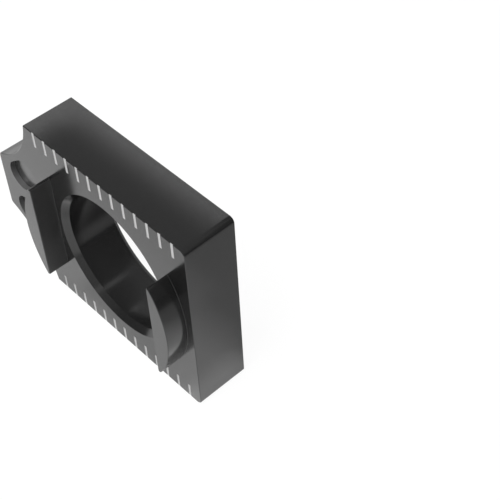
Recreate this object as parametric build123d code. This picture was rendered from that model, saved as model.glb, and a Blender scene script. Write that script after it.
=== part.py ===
"""Rear axle adjuster block for a motorcycle: one machined aluminium piece, in millimetres.

The origin is on the axle bore's axis, halfway through the plate. X runs along the swingarm with the
plain end at +X and the tongue at -X. Y runs through the plate, with the graduated face at -Y and the
face that slides on the swingarm at +Y. Z is up.
"""

from build123d import *
from math import cos, floor, radians, sin
import os

# Plate
body_height = 36.3
body_thickness = 9.6
plain_end_reach = 19.2  # bore axis to the plain end face
step_reach = 19.1  # bore axis to the corner where each scoop begins
plain_corner_radius = 1.0
step_corner_radius = 0.15
edge_break = 0.1  # small chamfer round both faces and the lugs

# Tongue, the nose that the adjusting bolt pushes on
tongue_reach = 29.5  # bore axis to the bolt's contact face
tongue_height = 11.6
tongue_corner_radius = 0.8
scoop_radius = 16.0  # concave cut above and below the tongue

# Axle bore
axle_diameter = 25.0
axle_radial_clearance = 0.05
lead_in_width = 0.85  # chamfer on the graduated side, measured along the radius
lead_in_depth = 1.1
back_chamfer = 0.65

# Two lugs that hold the axle head's flats, left by a channel milled through a round boss
lug_height = 3.9
lug_edge_margin = 0.35  # from the boss's round wall to the plate's top and bottom
lug_crown = 3.6  # each lug's thickness at the middle of its round side
lug_tip_radius = 0.35
lug_root = 0.07  # small flare where each lug meets the graduated face

# Two lightening pockets in the tongue
pocket_length = 8.2
pocket_width = 5.6
pocket_angle = 38.0  # degrees, each pocket leans towards its scoop
pocket_depth = 0.95
pocket_end_wall = 2.8  # pocket to the bolt's contact face
pocket_web = 2.4  # between the two pockets

# Graduations, centred on the bore
mark_pitch = 2.75
mark_length = 2.9
mark_width = 0.5
mark_depth = 0.04
mark_end_margin = 2.2  # clear length between the last mark and the end of the plate

bore_radius = axle_diameter / 2 + axle_radial_clearance
lug_radius = body_height / 2 - lug_edge_margin
channel_width = 2 * (lug_radius - lug_crown)
front = -body_thickness / 2
back = body_thickness / 2
top = body_height / 2


def corners(sketch, points, radius):
    """Rounds the sketch's corners that lie nearest to the given points."""
    chosen = [sketch.vertices().sort_by_distance(point)[0] for point in points]
    return fillet(chosen, radius)


def plate():
    """The plate with its tongue, cut out along the side outline, with broken edges."""
    step = (-step_reach, top)
    nose = (-tongue_reach, tongue_height / 2)
    heel = (plain_end_reach, top)

    def mirrored(point):
        return (point[0], -point[1])

    outline = [
        Polyline(step, heel, mirrored(heel), mirrored(step)),
        RadiusArc(mirrored(step), mirrored(nose), -scoop_radius),
        Line(mirrored(nose), nose),
        RadiusArc(nose, step, -scoop_radius),
    ]
    face = make_face(Wire.combine([edge for piece in outline for edge in piece.edges()])[0])
    face = corners(face, [heel, mirrored(heel)], plain_corner_radius)
    face = corners(face, [step, mirrored(step)], step_corner_radius)
    face = corners(face, [nose, mirrored(nose)], tongue_corner_radius)
    solid = extrude(Plane.XZ.offset(-back) * face, body_thickness)
    rims = solid.faces().filter_by(Axis.Y)
    return chamfer([edge for rim in rims for edge in rim.outer_wire().edges()], edge_break)


def lugs():
    """The two round-backed lugs on the graduated face, with broken front edges and flared roots."""
    boss = Circle(lug_radius) - Rectangle(channel_width, body_height)
    boss = fillet(boss.vertices(), lug_tip_radius)
    solid = extrude(Plane.XZ.offset(-front) * boss, lug_height)
    rims = solid.faces().filter_by(Axis.Y).group_by(Axis.Y)[0]
    solid = chamfer([edge for rim in rims for edge in rim.outer_wire().edges()], edge_break)
    flare = extrude(Plane.XZ.offset(-front) * offset(boss, lug_root), lug_root, taper=45)
    return solid + flare


def bore_cutter():
    """The axle bore with a wide lead-in on the graduated side and a small chamfer behind."""
    lead_in_radius = bore_radius + lead_in_width
    back_radius = bore_radius + back_chamfer
    profile = Polyline(
        (0, front - lug_height),
        (lead_in_radius, front - lug_height),
        (lead_in_radius, front),
        (bore_radius, front + lead_in_depth),
        (bore_radius, back - back_chamfer),
        (back_radius, back),
        (back_radius, back + back_chamfer),
        (0, back + back_chamfer),
        close=True,
    )
    return revolve(make_face(profile.edges()), Axis.Y)


def pocket_cutters():
    """The mirrored pair of blind round-ended pockets in the tongue."""
    radius = pocket_width / 2
    travel = pocket_length / 2 - radius
    half_reach = travel * cos(radians(pocket_angle)) + radius
    half_rise = travel * sin(radians(pocket_angle)) + radius
    centre_x = pocket_end_wall + half_reach - tongue_reach
    centre_z = pocket_web / 2 + half_rise
    slots = Sketch() + [
        Pos(centre_x, side * centre_z) * SlotOverall(pocket_length, pocket_width, side * pocket_angle)
        for side in (1, -1)
    ]
    return extrude(Plane.XZ.offset(-front) * slots, -pocket_depth)


def mark_cutters():
    """The graduations along the top and bottom edges, evenly spaced either side of the bore."""
    room = min(step_reach, plain_end_reach) - mark_end_margin
    per_side = floor(room / mark_pitch)
    marks = Sketch() + [
        Pos(step * mark_pitch, side * (top - mark_length / 2)) * Rectangle(mark_width, mark_length)
        for step in range(-per_side, per_side + 1)
        for side in (1, -1)
    ]
    return extrude(Plane.XZ.offset(-front) * marks, -mark_depth)


def adjuster_block():
    """The whole block as one solid."""
    block = plate() + lugs()
    return block - bore_cutter() - pocket_cutters() - mark_cutters()


os.makedirs("parts", exist_ok=True)
block = adjuster_block()
export_step(block, "parts/adjuster_block.step")
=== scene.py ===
"""Dresses the motorcycle chain adjuster: its black anodised finish, a soft studio and a camera.

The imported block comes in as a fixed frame, in metres: X runs along the swingarm with the tongue at
-X, the graduated face looks towards -Y, and Z is up.
"""

import logging
from dataclasses import dataclass, field
from enum import Enum, IntEnum
from math import cos, pi, radians, sin

import bmesh
import bpy
from mathutils import Matrix, Vector


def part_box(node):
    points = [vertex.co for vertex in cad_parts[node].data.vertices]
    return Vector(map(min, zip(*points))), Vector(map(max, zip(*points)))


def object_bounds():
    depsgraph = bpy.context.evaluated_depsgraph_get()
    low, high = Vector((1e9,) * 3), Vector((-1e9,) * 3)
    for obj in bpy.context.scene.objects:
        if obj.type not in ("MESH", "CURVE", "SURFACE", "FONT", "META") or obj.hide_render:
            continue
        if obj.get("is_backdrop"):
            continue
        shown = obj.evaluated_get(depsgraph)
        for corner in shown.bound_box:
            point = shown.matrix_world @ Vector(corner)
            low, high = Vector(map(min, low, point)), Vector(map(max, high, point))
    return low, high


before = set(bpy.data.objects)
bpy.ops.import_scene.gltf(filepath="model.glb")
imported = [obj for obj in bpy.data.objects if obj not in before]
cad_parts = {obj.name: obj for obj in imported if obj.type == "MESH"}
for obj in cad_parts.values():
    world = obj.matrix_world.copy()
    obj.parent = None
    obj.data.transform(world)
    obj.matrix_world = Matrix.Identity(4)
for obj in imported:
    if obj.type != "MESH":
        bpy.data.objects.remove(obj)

MM = 0.001
BLOCK = "adjuster_block"
CARD_HALF_THICKNESS_MM = 0.01
NOISE_MIDDLE = 0.5
UP = Vector((0.0, 0.0, 1.0))

log = logging.getLogger("chain_adjuster")
cad_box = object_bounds()

Colour = tuple[float, float, float]
Place = tuple[float, float, float]


def grey(level: float) -> Colour:
    """A neutral colour of one linear level."""
    return (level, level, level)


def opaque(colour: Colour) -> tuple[float, float, float, float]:
    """The colour with full alpha, as a socket takes it."""
    return (*colour, 1.0)


BLACK = grey(0.0)
WHITE = grey(1.0)


class Ray(Enum):
    """The kinds of ray that a surface or the world can tell apart."""

    CAMERA = "Is Camera Ray"
    GLOSSY = "Is Glossy Ray"
    TRANSMISSION = "Is Transmission Ray"


class MixSocket(IntEnum):
    """The Mix node's sockets for colours, by their place among its inputs or outputs."""

    SHARE = 0
    FIRST = 6
    SECOND = 7
    RESULT = 2


class Canvas:
    """A node tree that is built from Python expressions."""

    def __init__(self, tree: bpy.types.NodeTree) -> None:
        """Starts an empty tree.

        Args:
            tree: The material's or the world's node tree.
        """
        self.tree = tree
        self.tree.nodes.clear()

    def add(self, kind: str, settings: dict | None = None, inputs: dict | None = None,
            output: int | str = 0) -> "Signal":
        """Adds one node.

        Args:
            kind: The node's type.
            settings: Properties of the node, which are set first.
            inputs: Values or signals of its sockets, by name or place.
            output: The socket that the signal comes from.

        Returns:
            The node's chosen output as a signal.
        """
        node = self.tree.nodes.new(kind)
        for name, value in (settings or {}).items():
            setattr(node, name, value)
        for name, value in (inputs or {}).items():
            if isinstance(value, Signal):
                self.tree.links.new(value.socket, node.inputs[name])
            else:
                node.inputs[name].default_value = value
        return Signal(self, node.outputs[output] if node.outputs else None)

    def mix_colour(self, share: "Signal", first: "Signal | Colour",
                   second: "Signal | Colour") -> "Signal":
        """A colour between two others.

        Args:
            share: How much of the second colour shows.
            first: The colour at share 0.
            second: The colour at share 1.

        Returns:
            The mixed colour.
        """
        ends = [end if isinstance(end, Signal) else opaque(end) for end in (first, second)]
        sockets = {MixSocket.SHARE: share, MixSocket.FIRST: ends[0], MixSocket.SECOND: ends[1]}
        return self.add("ShaderNodeMix", {"data_type": "RGBA"}, sockets, MixSocket.RESULT)

    def axes(self, vector: "Signal") -> tuple["Signal", "Signal", "Signal"]:
        """A vector's X, Y and Z."""
        return tuple(self.add("ShaderNodeSeparateXYZ", inputs={0: vector}, output=axis) for axis in "XYZ")

    def place(self) -> "Signal":
        """The point's own place on the piece, in metres."""
        return self.add("ShaderNodeTexCoord", output="Object")

    def place_mm(self) -> tuple["Signal", "Signal", "Signal"]:
        """The point's own X, Y and Z on the piece, in millimetres."""
        sockets = {0: self.place(), "Scale": 1 / MM}
        return self.axes(self.add("ShaderNodeVectorMath", {"operation": "SCALE"}, sockets))

    def noise(self, per_metre: float, detail: float) -> "Signal":
        """A noise over the piece, between 0 and 1."""
        sockets = {"Vector": self.place(), "Scale": per_metre, "Detail": detail}
        return self.add("ShaderNodeTexNoise", inputs=sockets)

    def ray(self, kind: Ray) -> "Signal":
        """1 for rays of one kind and 0 for the others."""
        return self.add("ShaderNodeLightPath", output=kind.value)

    def seen_directly(self) -> "Signal":
        """1 for rays of the camera and of what it sees mirrored or through glass."""
        direct, mirrored, through = (self.ray(kind) for kind in Ray)
        return direct.at_least(mirrored).at_least(through)


@dataclass(frozen=True)
class Signal:
    """A node's output, which Python's operators combine through Math nodes."""

    canvas: Canvas
    socket: bpy.types.NodeSocket | None

    def _math(self, operation: str, *values: "Signal | float") -> "Signal":
        """Runs one Math node.

        Args:
            operation: The Math node's operation.
            values: Its inputs in order.

        Returns:
            The result.
        """
        return self.canvas.add("ShaderNodeMath", {"operation": operation}, dict(enumerate(values)))

    def __add__(self, other: "Signal | float") -> "Signal":
        """The sum."""
        return self._math("ADD", self, other)

    __radd__ = __add__

    def __sub__(self, other: "Signal | float") -> "Signal":
        """The difference."""
        return self._math("SUBTRACT", self, other)

    def __rsub__(self, other: float) -> "Signal":
        """The difference, taken from a number."""
        return self._math("SUBTRACT", other, self)

    def __mul__(self, other: "Signal | float") -> "Signal":
        """The product."""
        return self._math("MULTIPLY", self, other)

    __rmul__ = __mul__

    def __truediv__(self, other: "Signal | float") -> "Signal":
        """The quotient."""
        return self._math("DIVIDE", self, other)

    def __abs__(self) -> "Signal":
        """The size without its sign."""
        return self._math("ABSOLUTE", self)

    def __round__(self) -> "Signal":
        """The nearest whole number."""
        return self._math("ROUND", self)

    def at_least(self, other: "Signal | float") -> "Signal":
        """The larger of the two."""
        return self._math("MAXIMUM", self, other)

    def clamped(self) -> "Signal":
        """The value kept between 0 and 1."""
        return self.canvas.add("ShaderNodeClamp", inputs={0: self})

    def inside(self, limit: float, blur: float) -> "Signal":
        """1 below a limit and 0 above it, with a soft edge.

        Args:
            limit: Where the edge lies.
            blur: How wide the edge is.

        Returns:
            The mask.
        """
        return ((limit - self) / blur + 0.5).clamped()


def new_material(name: str) -> tuple[bpy.types.Material, Canvas]:
    """Makes a material with an empty node tree.

    Args:
        name: The material's name.

    Returns:
        The material and the canvas of its nodes.
    """
    made = bpy.data.materials.new(name)
    made.use_nodes = True
    return made, Canvas(made.node_tree)


def new_object(shape: bmesh.types.BMesh, name: str, finish: bpy.types.Material) -> bpy.types.Object:
    """Makes an object of a shape and puts it in the scene.

    Args:
        shape: The shape, which is freed.
        name: The name of the object and of its mesh.
        finish: The material.

    Returns:
        The object.
    """
    mesh = bpy.data.meshes.new(name)
    shape.to_mesh(mesh)
    shape.free()
    mesh.materials.append(finish)
    made = bpy.data.objects.new(name, mesh)
    bpy.context.scene.collection.objects.link(made)
    return made


@dataclass(frozen=True)
class Graduations:
    """The pale engraved strokes along the top and bottom edges, in millimetres."""

    pitch: float = 2.75
    width: float = 0.5
    length: float = 2.9
    depth: float = 0.04
    count_per_side: int = 6
    edge_blur: float = 0.04
    spill: float = 0.03

    def mask(self, canvas: Canvas, low: Vector, high: Vector, face: float) -> Signal:
        """Where the strokes are.

        Args:
            canvas: The material's tree.
            low: The block's lowest corner.
            high: The block's highest corner.
            face: The graduated face's place along Y.

        Returns:
            1 on a stroke and 0 elsewhere.
        """
        x, y, z = canvas.place_mm()
        beside = abs(x - round(x / self.pitch) * self.pitch)
        reach = self.pitch * (self.count_per_side + 0.5)
        rim = (high.z - low.z) / 2 / MM
        on_stroke = beside.inside(self.width / 2 + self.spill, self.edge_blur)
        on_row = abs(x).inside(reach, self.edge_blur)
        near_rim = 1 - abs(z).inside(rim - self.length - self.spill, self.edge_blur)
        at_face = y.inside(face / MM + self.depth + self.spill, self.edge_blur)
        return on_stroke * on_row * near_rim * at_face


@dataclass(frozen=True)
class Pockets:
    """The mirrored pair of round-ended pockets in the tongue, in millimetres."""

    centre: tuple[float, float] = (-22.88, 4.80)
    angle_deg: float = 38.0
    travel: float = 1.3
    radius: float = 2.9
    depth: float = 0.95
    lip: float = 0.03
    edge_blur: float = 0.03

    def masks(self, canvas: Canvas, face: float) -> tuple[Signal, Signal]:
        """Where the pockets' walls and floors are.

        Args:
            canvas: The material's tree.
            face: The graduated face's place along Y.

        Returns:
            A mask of the walls and a mask of the floors.
        """
        x, y, z = canvas.place_mm()
        ahead = x - self.centre[0]
        rise = abs(z) - self.centre[1]
        turn = radians(self.angle_deg)
        along = (abs(ahead * cos(turn) + rise * sin(turn)) - self.travel).at_least(0.0)
        across = rise * cos(turn) - ahead * sin(turn)
        inside = (along * along + across * across).inside(self.radius**2, self.edge_blur)
        floor = face / MM + self.depth
        above_floor = y.inside(floor - self.lip, self.edge_blur)
        below_rim = 1 - y.inside(face / MM + self.lip, self.edge_blur)
        at_floor = (1 - above_floor) * y.inside(floor + self.lip, self.edge_blur)
        return inside * below_rim * above_floor, inside * at_floor


@dataclass(frozen=True)
class LugWalls:
    """The flat inner walls of the two lugs and the lugs' roots, in millimetres."""

    wall_reach: float = 14.3
    root_height: float = 0.09
    lip: float = 0.01
    edge_blur: float = 0.02

    def masks(self, canvas: Canvas, face: float) -> tuple[Signal, Signal]:
        """Where the inner walls and the roots are.

        Args:
            canvas: The material's tree.
            face: The graduated face's place along Y.

        Returns:
            A mask of the inner walls and a mask of the roots.
        """
        x, y, _ = canvas.place_mm()
        level = face / MM
        raised = y.inside(level - self.lip, self.edge_blur)
        walls = raised * abs(x).inside(self.wall_reach, self.edge_blur)
        # The roots are a thin band at the foot of each inner wall, where the finish paints shade.
        return walls, raised - y.inside(level - self.root_height, self.edge_blur)


@dataclass(frozen=True)
class BlackAnodised:
    """Satin to glossy black anodised aluminium with pale graduations, painted light on the lugs' inner
    walls, painted shade at their roots and a painted highlight in the pockets.
    """

    black: Colour = grey(0.012)
    # The lugs' inner walls get this lighter grey: painted light that stands in for the light they catch.
    milled_and_painted_light: Colour = grey(0.034)
    # The pockets' walls, and in part their floors, get this pale grey: a painted highlight.
    pocket_highlight_grey: Colour = grey(0.115)
    pocket_floor_highlight_share: float = 0.35
    pale: Colour = grey(0.60)
    gloss_roughness: float = 0.16
    roughness_spread: float = 0.05
    wall_roughness: float = 0.35
    pale_roughness: float = 0.6
    index_of_refraction: float = 1.65
    cloud_per_metre: float = 220.0
    grain_per_metre: float = 9000.0
    noise_detail: float = 2.0
    grain_strength: float = 0.4
    grain_height_mm: float = 0.005
    strokes: Graduations = field(default_factory=Graduations)
    pockets: Pockets = field(default_factory=Pockets)
    lugs: LugWalls = field(default_factory=LugWalls)

    def material(self, low: Vector, high: Vector, face: float) -> bpy.types.Material:
        """Makes the finish for a block of the given box.

        Args:
            low: The block's lowest corner.
            high: The block's highest corner.
            face: The graduated face's place along Y.

        Returns:
            The material.
        """
        made, canvas = new_material("black_anodised_finish")
        cloud = canvas.noise(self.cloud_per_metre, self.noise_detail)
        grain = canvas.noise(self.grain_per_metre, self.noise_detail)
        stroke = self.strokes.mask(canvas, low, high, face)
        pocket_wall, pocket_floor = self.pockets.masks(canvas, face)
        lug_wall, root_painted_shade = self.lugs.masks(canvas, face)
        satin = self.gloss_roughness + (cloud - NOISE_MIDDLE) * self.roughness_spread
        # The milled walls of the lugs and the pockets are rougher.
        milled_and_painted_light = lug_wall.at_least(pocket_wall) * self.wall_roughness
        rough = milled_and_painted_light.at_least(stroke.at_least(root_painted_shade) * self.pale_roughness)
        # Painted highlight: full on the pocket walls, a share of it on the pocket floors.
        pocket_highlight_mask = pocket_wall.at_least(pocket_floor * self.pocket_floor_highlight_share)
        # Painted light: the lugs' inner walls are given a lighter grey.
        colour = canvas.mix_colour(lug_wall, self.black, self.milled_and_painted_light)
        # Painted shade: the roots of the lugs' inner walls are painted black, as a dark line in the
        # crease.
        colour = canvas.mix_colour(root_painted_shade, colour, BLACK)
        # Painted highlight in the pockets.
        colour = canvas.mix_colour(pocket_highlight_mask, colour, self.pocket_highlight_grey)
        colour = canvas.mix_colour(stroke, colour, self.pale)
        relief = canvas.add(
            "ShaderNodeBump",
            inputs={
                "Strength": self.grain_strength,
                "Distance": self.grain_height_mm * MM,
                "Height": grain,
            },
        )
        surface = canvas.add(
            "ShaderNodeBsdfPrincipled",
            inputs={
                "Base Color": colour,
                "Roughness": satin.at_least(rough),
                "IOR": self.index_of_refraction,
                "Normal": relief,
            },
        )
        canvas.add("ShaderNodeOutputMaterial", inputs={"Surface": surface})
        return made


@dataclass(frozen=True)
class Patch:
    """A soft-edged rectangle of painted light (gain above 0) or painted shade (gain below 0) on the
    floor, which metal mirrors brighter or dimmer, in millimetres.
    """

    centre: tuple[float, float]
    half_size: tuple[float, float]
    blur: float
    gain: float

    def share(self, x: Signal, y: Signal) -> Signal:
        """What the mirrored floor is multiplied by.

        Args:
            x: The floor's place along X.
            y: The floor's place along Y.

        Returns:
            1 away from the patch.
        """
        across = abs(x - self.centre[0]).inside(self.half_size[0], self.blur)
        along = abs(y - self.centre[1]).inside(self.half_size[1], self.blur)
        # Painted light or shade, by the sign of the gain.
        return 1 + self.gain * across * along


@dataclass(frozen=True)
class PaleFloor:
    """A plain white floor with a soft shadow, which metal mirrors darker and uneven, with painted shade
    behind the block and painted patches of light and shade, in millimetres.
    """

    matt_level: float = 0.8
    glow: float = 0.94
    shadow_share: float = 0.08
    mirrored_glow: float = 0.5
    mirrored_shadow_share: float = 0.42
    shade_start: float = 7.0
    shade_blur: float = 9.0
    open_shade: float = 0.5
    shade_left: float = -98.0
    shade_left_blur: float = 60.0
    close_shade: float = 0.64
    close_half_width: float = 20.0
    close_blur: float = 12.0
    far_edge: float = 130.0
    far_blur: float = 20.0
    far_shade: float = 0.85
    patches: tuple[Patch, ...] = (
        Patch(centre=(-9.0, -11.0), half_size=(6.0, 4.0), blur=4.0, gain=-0.32),
        Patch(centre=(-32.0, -16.0), half_size=(10.0, 4.0), blur=4.0, gain=0.25),
        Patch(centre=(-60.0, -22.0), half_size=(18.0, 12.0), blur=6.0, gain=0.12),
        Patch(centre=(19.0, 0.0), half_size=(4.0, 7.0), blur=3.5, gain=0.75),
        Patch(centre=(-22.0, -26.0), half_size=(19.0, 5.0), blur=3.0, gain=-0.10),
        Patch(centre=(4.0, -7.0), half_size=(6.0, 2.0), blur=3.0, gain=-0.12),
        Patch(centre=(42.0, 11.5), half_size=(6.0, 2.5), blur=3.0, gain=0.30),
    )

    def _lit_share(self, canvas: Canvas) -> Signal:
        """How bright the mirrored floor is, with painted shade behind the block and far to its right and
        painted patches of light and shade.

        Args:
            canvas: The material's tree.

        Returns:
            1 in the open and less in the shade.
        """
        x, y, _ = canvas.place_mm()
        # Painted shadow behind the block and far to its right, which only metal sees.
        behind = 1 - y.inside(self.shade_start, self.shade_blur)
        open_left = x.inside(self.shade_left, self.shade_left_blur)
        close = abs(x).inside(self.close_half_width, self.close_blur)
        far = 1 - x.inside(self.far_edge, self.far_blur)
        open_shade = self.open_shade * behind * (1 - open_left)
        close_shade = self.close_shade * behind * close
        share = (1 - open_shade) * (1 - close_shade) * (1 - self.far_shade * far)
        # Painted patches of light and shade.
        for patch in self.patches:
            share = share * patch.share(x, y)
        return share

    def material(self) -> bpy.types.Material:
        """Makes the floor's finish.

        Returns:
            The material.
        """
        made, canvas = new_material("pale_floor")
        mirrored = canvas.ray(Ray.GLOSSY)
        matt = canvas.add("ShaderNodeBsdfDiffuse", inputs={"Color": opaque(grey(self.matt_level))})
        lit = self._lit_share(canvas)
        mirrored_share = canvas.mix_colour(lit, BLACK, grey(self.mirrored_shadow_share))
        share = canvas.mix_colour(mirrored, grey(self.shadow_share), mirrored_share)
        shaded = canvas.add("ShaderNodeBsdfDiffuse", inputs={"Color": share})
        glow = self.glow + (self.mirrored_glow * lit - self.glow) * mirrored
        light = canvas.add("ShaderNodeEmission", inputs={"Color": opaque(WHITE), "Strength": glow})
        bright = canvas.add("ShaderNodeAddShader", inputs={0: light, 1: shaded})
        seen = canvas.seen_directly()
        shown = canvas.add("ShaderNodeMixShader", inputs={0: seen, 1: matt, 2: bright})
        canvas.add("ShaderNodeOutputMaterial", inputs={"Surface": shown})
        return made


@dataclass(frozen=True)
class Walls:
    """The walls that metal mirrors, by direction.

    The one at the back left is white, the front one is grey and the rest are dim. A bright strip leans
    from the front over the top.
    """

    left_level: float = 1.2
    front_level: float = 0.26
    front_rise: float = 0.30
    dim_level: float = 0.12
    left_edge: float = -0.50
    left_end: float = 0.0
    left_blur: float = 0.10
    front_edge: float = -0.40
    front_blur: float = 0.30
    strip_level: float = 0.75
    strip_slope: float = 0.36
    strip_half_width: float = 0.06
    strip_blur: float = 0.06
    strip_end: float = 0.6

    def level(self, canvas: Canvas) -> Signal:
        """How bright each direction is.

        Args:
            canvas: The world's tree.

        Returns:
            The wall's level.
        """
        x, y, z = canvas.axes(canvas.add("ShaderNodeTexCoord", output="Generated"))
        at_back = 1 - y.inside(self.left_end, self.left_blur)
        left = x.inside(self.left_edge, self.left_blur) * at_back * self.left_level
        front = y.inside(self.front_edge, self.front_blur) * (self.front_level + x * self.front_rise)
        beside = abs(x - z * self.strip_slope).inside(self.strip_half_width, self.strip_blur)
        strip = beside * y.inside(self.strip_end, self.strip_blur) * self.strip_level
        return left.at_least(front).at_least(strip).at_least(self.dim_level)


@dataclass(frozen=True)
class Flag:
    """A dim card with soft edges that only mirrors see, in millimetres in the block's frame."""

    name: str
    centre: Place
    half_size: Place
    blur: float
    level: float

    def build(self) -> None:
        """Hangs the card, which reaches half of the blur past its outline, to where it has faded."""
        shape = bmesh.new()
        bmesh.ops.create_cube(shape, size=1.0)
        reach = [half + self.blur / 2 if self._fades(half) else half for half in self.half_size]
        bmesh.ops.scale(shape, verts=shape.verts, vec=Vector(reach) * 2 * MM)
        bmesh.ops.translate(shape, verts=shape.verts, vec=Vector(self.centre) * MM)
        card = new_object(shape, self.name, self._material())
        card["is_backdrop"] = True
        log.info("%s hung", self.name)

    @staticmethod
    def _fades(half: float) -> bool:
        """Whether the card has soft edges along a side, which its thickness has not."""
        return half > CARD_HALF_THICKNESS_MM

    def _material(self) -> bpy.types.Material:
        """Makes a finish that only mirrors see and that fades out at the card's edges.

        Returns:
            The material.
        """
        made, canvas = new_material(self.name)
        shown = canvas.ray(Ray.GLOSSY)
        for place, middle, half in zip(canvas.place_mm(), self.centre, self.half_size):
            if self._fades(half):
                shown = shown * abs(place - middle).inside(half, self.blur)
        clear = canvas.add("ShaderNodeBsdfTransparent")
        dim = canvas.add("ShaderNodeEmission", inputs={"Strength": self.level})
        surface = canvas.add("ShaderNodeMixShader", inputs={0: shown, 1: clear, 2: dim})
        canvas.add("ShaderNodeOutputMaterial", inputs={"Surface": surface})
        return made


@dataclass(frozen=True)
class Softbox:
    """A square area lamp that looks at the block, in metres."""

    name: str
    toward: Place
    distance: float
    side: float
    radiance: float

    def build(self) -> None:
        """Makes the lamp. Its power follows from its radiance and its area."""
        data = bpy.data.lights.new(self.name, "AREA")
        data.shape = "SQUARE"
        data.size = self.side
        data.energy = self.radiance * pi * self.side**2
        lamp = bpy.data.objects.new(self.name, data)
        way = Vector(self.toward).normalized()
        lamp.location = way * self.distance
        lamp.rotation_mode = "QUATERNION"
        lamp.rotation_quaternion = way.to_track_quat("Z", "Y")
        bpy.context.scene.collection.objects.link(lamp)
        log.info("%s at %.2f m", self.name, self.distance)


@dataclass
class Studio:
    """The floor, the world, the flags and the lamps around the block, in metres."""

    floor_half_side: float = 2.0
    light_level: float = 0.45
    backdrop_level: float = 1.0
    floor_finish: PaleFloor = field(default_factory=PaleFloor)
    walls: Walls = field(default_factory=Walls)
    lamps: tuple[Softbox, ...] = (
        Softbox("key_softbox", toward=(0.05, -0.40, 0.90), distance=1.0, side=0.5, radiance=9.0),
    )
    flags: tuple[Flag, ...] = (
        Flag(
            "top_flag",
            centre=(16.5, -16.0, 30.15),
            half_size=(43.5, 24.2, CARD_HALF_THICKNESS_MM),
            blur=6.0,
            level=0.28,
        ),
        Flag(
            "back_flag",
            centre=(-21.0, 15.0, 3.5),
            half_size=(29.0, CARD_HALF_THICKNESS_MM, 21.5),
            blur=4.0,
            level=0.34,
        ),
    )

    def build(self, ground: float) -> None:
        """Makes the floor, the world, the flags and the lamps.

        Args:
            ground: The height that the block stands on.
        """
        self._floor(ground)
        self._world()
        for flag in self.flags:
            flag.build()
        for lamp in self.lamps:
            lamp.build()

    def _floor(self, ground: float) -> None:
        """Lays the floor at the given height.

        Args:
            ground: The height that the block stands on.
        """
        shape = bmesh.new()
        bmesh.ops.create_grid(shape, x_segments=1, y_segments=1, size=self.floor_half_side)
        bmesh.ops.translate(shape, verts=shape.verts, vec=(0.0, 0.0, ground))
        floor = new_object(shape, "floor", self.floor_finish.material())
        floor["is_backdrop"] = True
        log.info("floor at %.1f mm", ground / MM)

    def _world(self) -> None:
        """Surrounds the block with even light and a white backdrop, and mirrors see the walls."""
        world = bpy.data.worlds.new("studio")
        world.use_nodes = True
        bpy.context.scene.world = world
        canvas = Canvas(world.node_tree)
        seen = canvas.seen_directly()
        mirrored = canvas.ray(Ray.GLOSSY)
        surround = self.backdrop_level + (self.walls.level(canvas) - self.backdrop_level) * mirrored
        strength = self.light_level + (surround - self.light_level) * seen
        sockets = {"Color": opaque(WHITE), "Strength": strength}
        light = canvas.add("ShaderNodeBackground", inputs=sockets)
        canvas.add("ShaderNodeOutputWorld", inputs={"Surface": light})
        log.info("world light %.2f", self.light_level)


@dataclass
class Camera:
    """A camera off the corner of the plain end and the graduated face, looking down on the block."""

    place_mm: Place = (107.569, -69.519, 137.058)
    azimuth_deg: float = 48.969
    elevation_deg: float = 47.433
    roll_deg: float = -3.070
    lens_mm: float = 83.811
    sensor_mm: float = 36.0
    clip_start: float = 0.001

    def build(self) -> None:
        """Makes the camera and gives it to the scene."""
        azimuth = radians(self.azimuth_deg)
        elevation = radians(self.elevation_deg)
        roll = radians(self.roll_deg)
        ahead = Vector((-sin(azimuth) * cos(elevation), cos(azimuth) * cos(elevation), -sin(elevation)))
        level = ahead.cross(UP).normalized()
        rise = level.cross(ahead)
        right = level * cos(roll) + rise * sin(roll)
        data = bpy.data.cameras.new("camera")
        data.lens = self.lens_mm
        data.sensor_width = self.sensor_mm
        data.clip_start = self.clip_start
        camera = bpy.data.objects.new("camera", data)
        turn = Matrix((right, right.cross(ahead), -ahead)).transposed().to_4x4()
        camera.matrix_world = Matrix.Translation(Vector(self.place_mm) * MM) @ turn
        bpy.context.scene.collection.objects.link(camera)
        bpy.context.scene.camera = camera
        log.info("camera with a %.1f mm lens", self.lens_mm)


@dataclass
class AdjusterBlock:
    """The machined block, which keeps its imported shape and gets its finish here."""

    lug_height_mm: float = 3.9
    finish: BlackAnodised = field(default_factory=BlackAnodised)

    def dress(self) -> None:
        """Gives the block its finish."""
        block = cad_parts[BLOCK]
        low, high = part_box(BLOCK)
        face = low.y + self.lug_height_mm * MM
        block.material_slots[0].material = self.finish.material(low, high, face)
        log.info("%s dressed, %d faces", BLOCK, len(block.data.polygons))


def write_sizes() -> None:
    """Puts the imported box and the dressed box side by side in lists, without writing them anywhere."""
    boxes = {"cad": cad_box, "visual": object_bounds()}
    plain = {name: [list(corner) for corner in box] for name, box in boxes.items()}


def main() -> None:
    """Builds the scene."""
    logging.basicConfig(level=logging.INFO, format="%(message)s")
    bpy.context.scene.view_settings.view_transform = "Standard"
    Camera().build()
    AdjusterBlock().dress()
    low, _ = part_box(BLOCK)
    Studio().build(low.z)
    write_sizes()


if __name__ == "__main__":
    main()
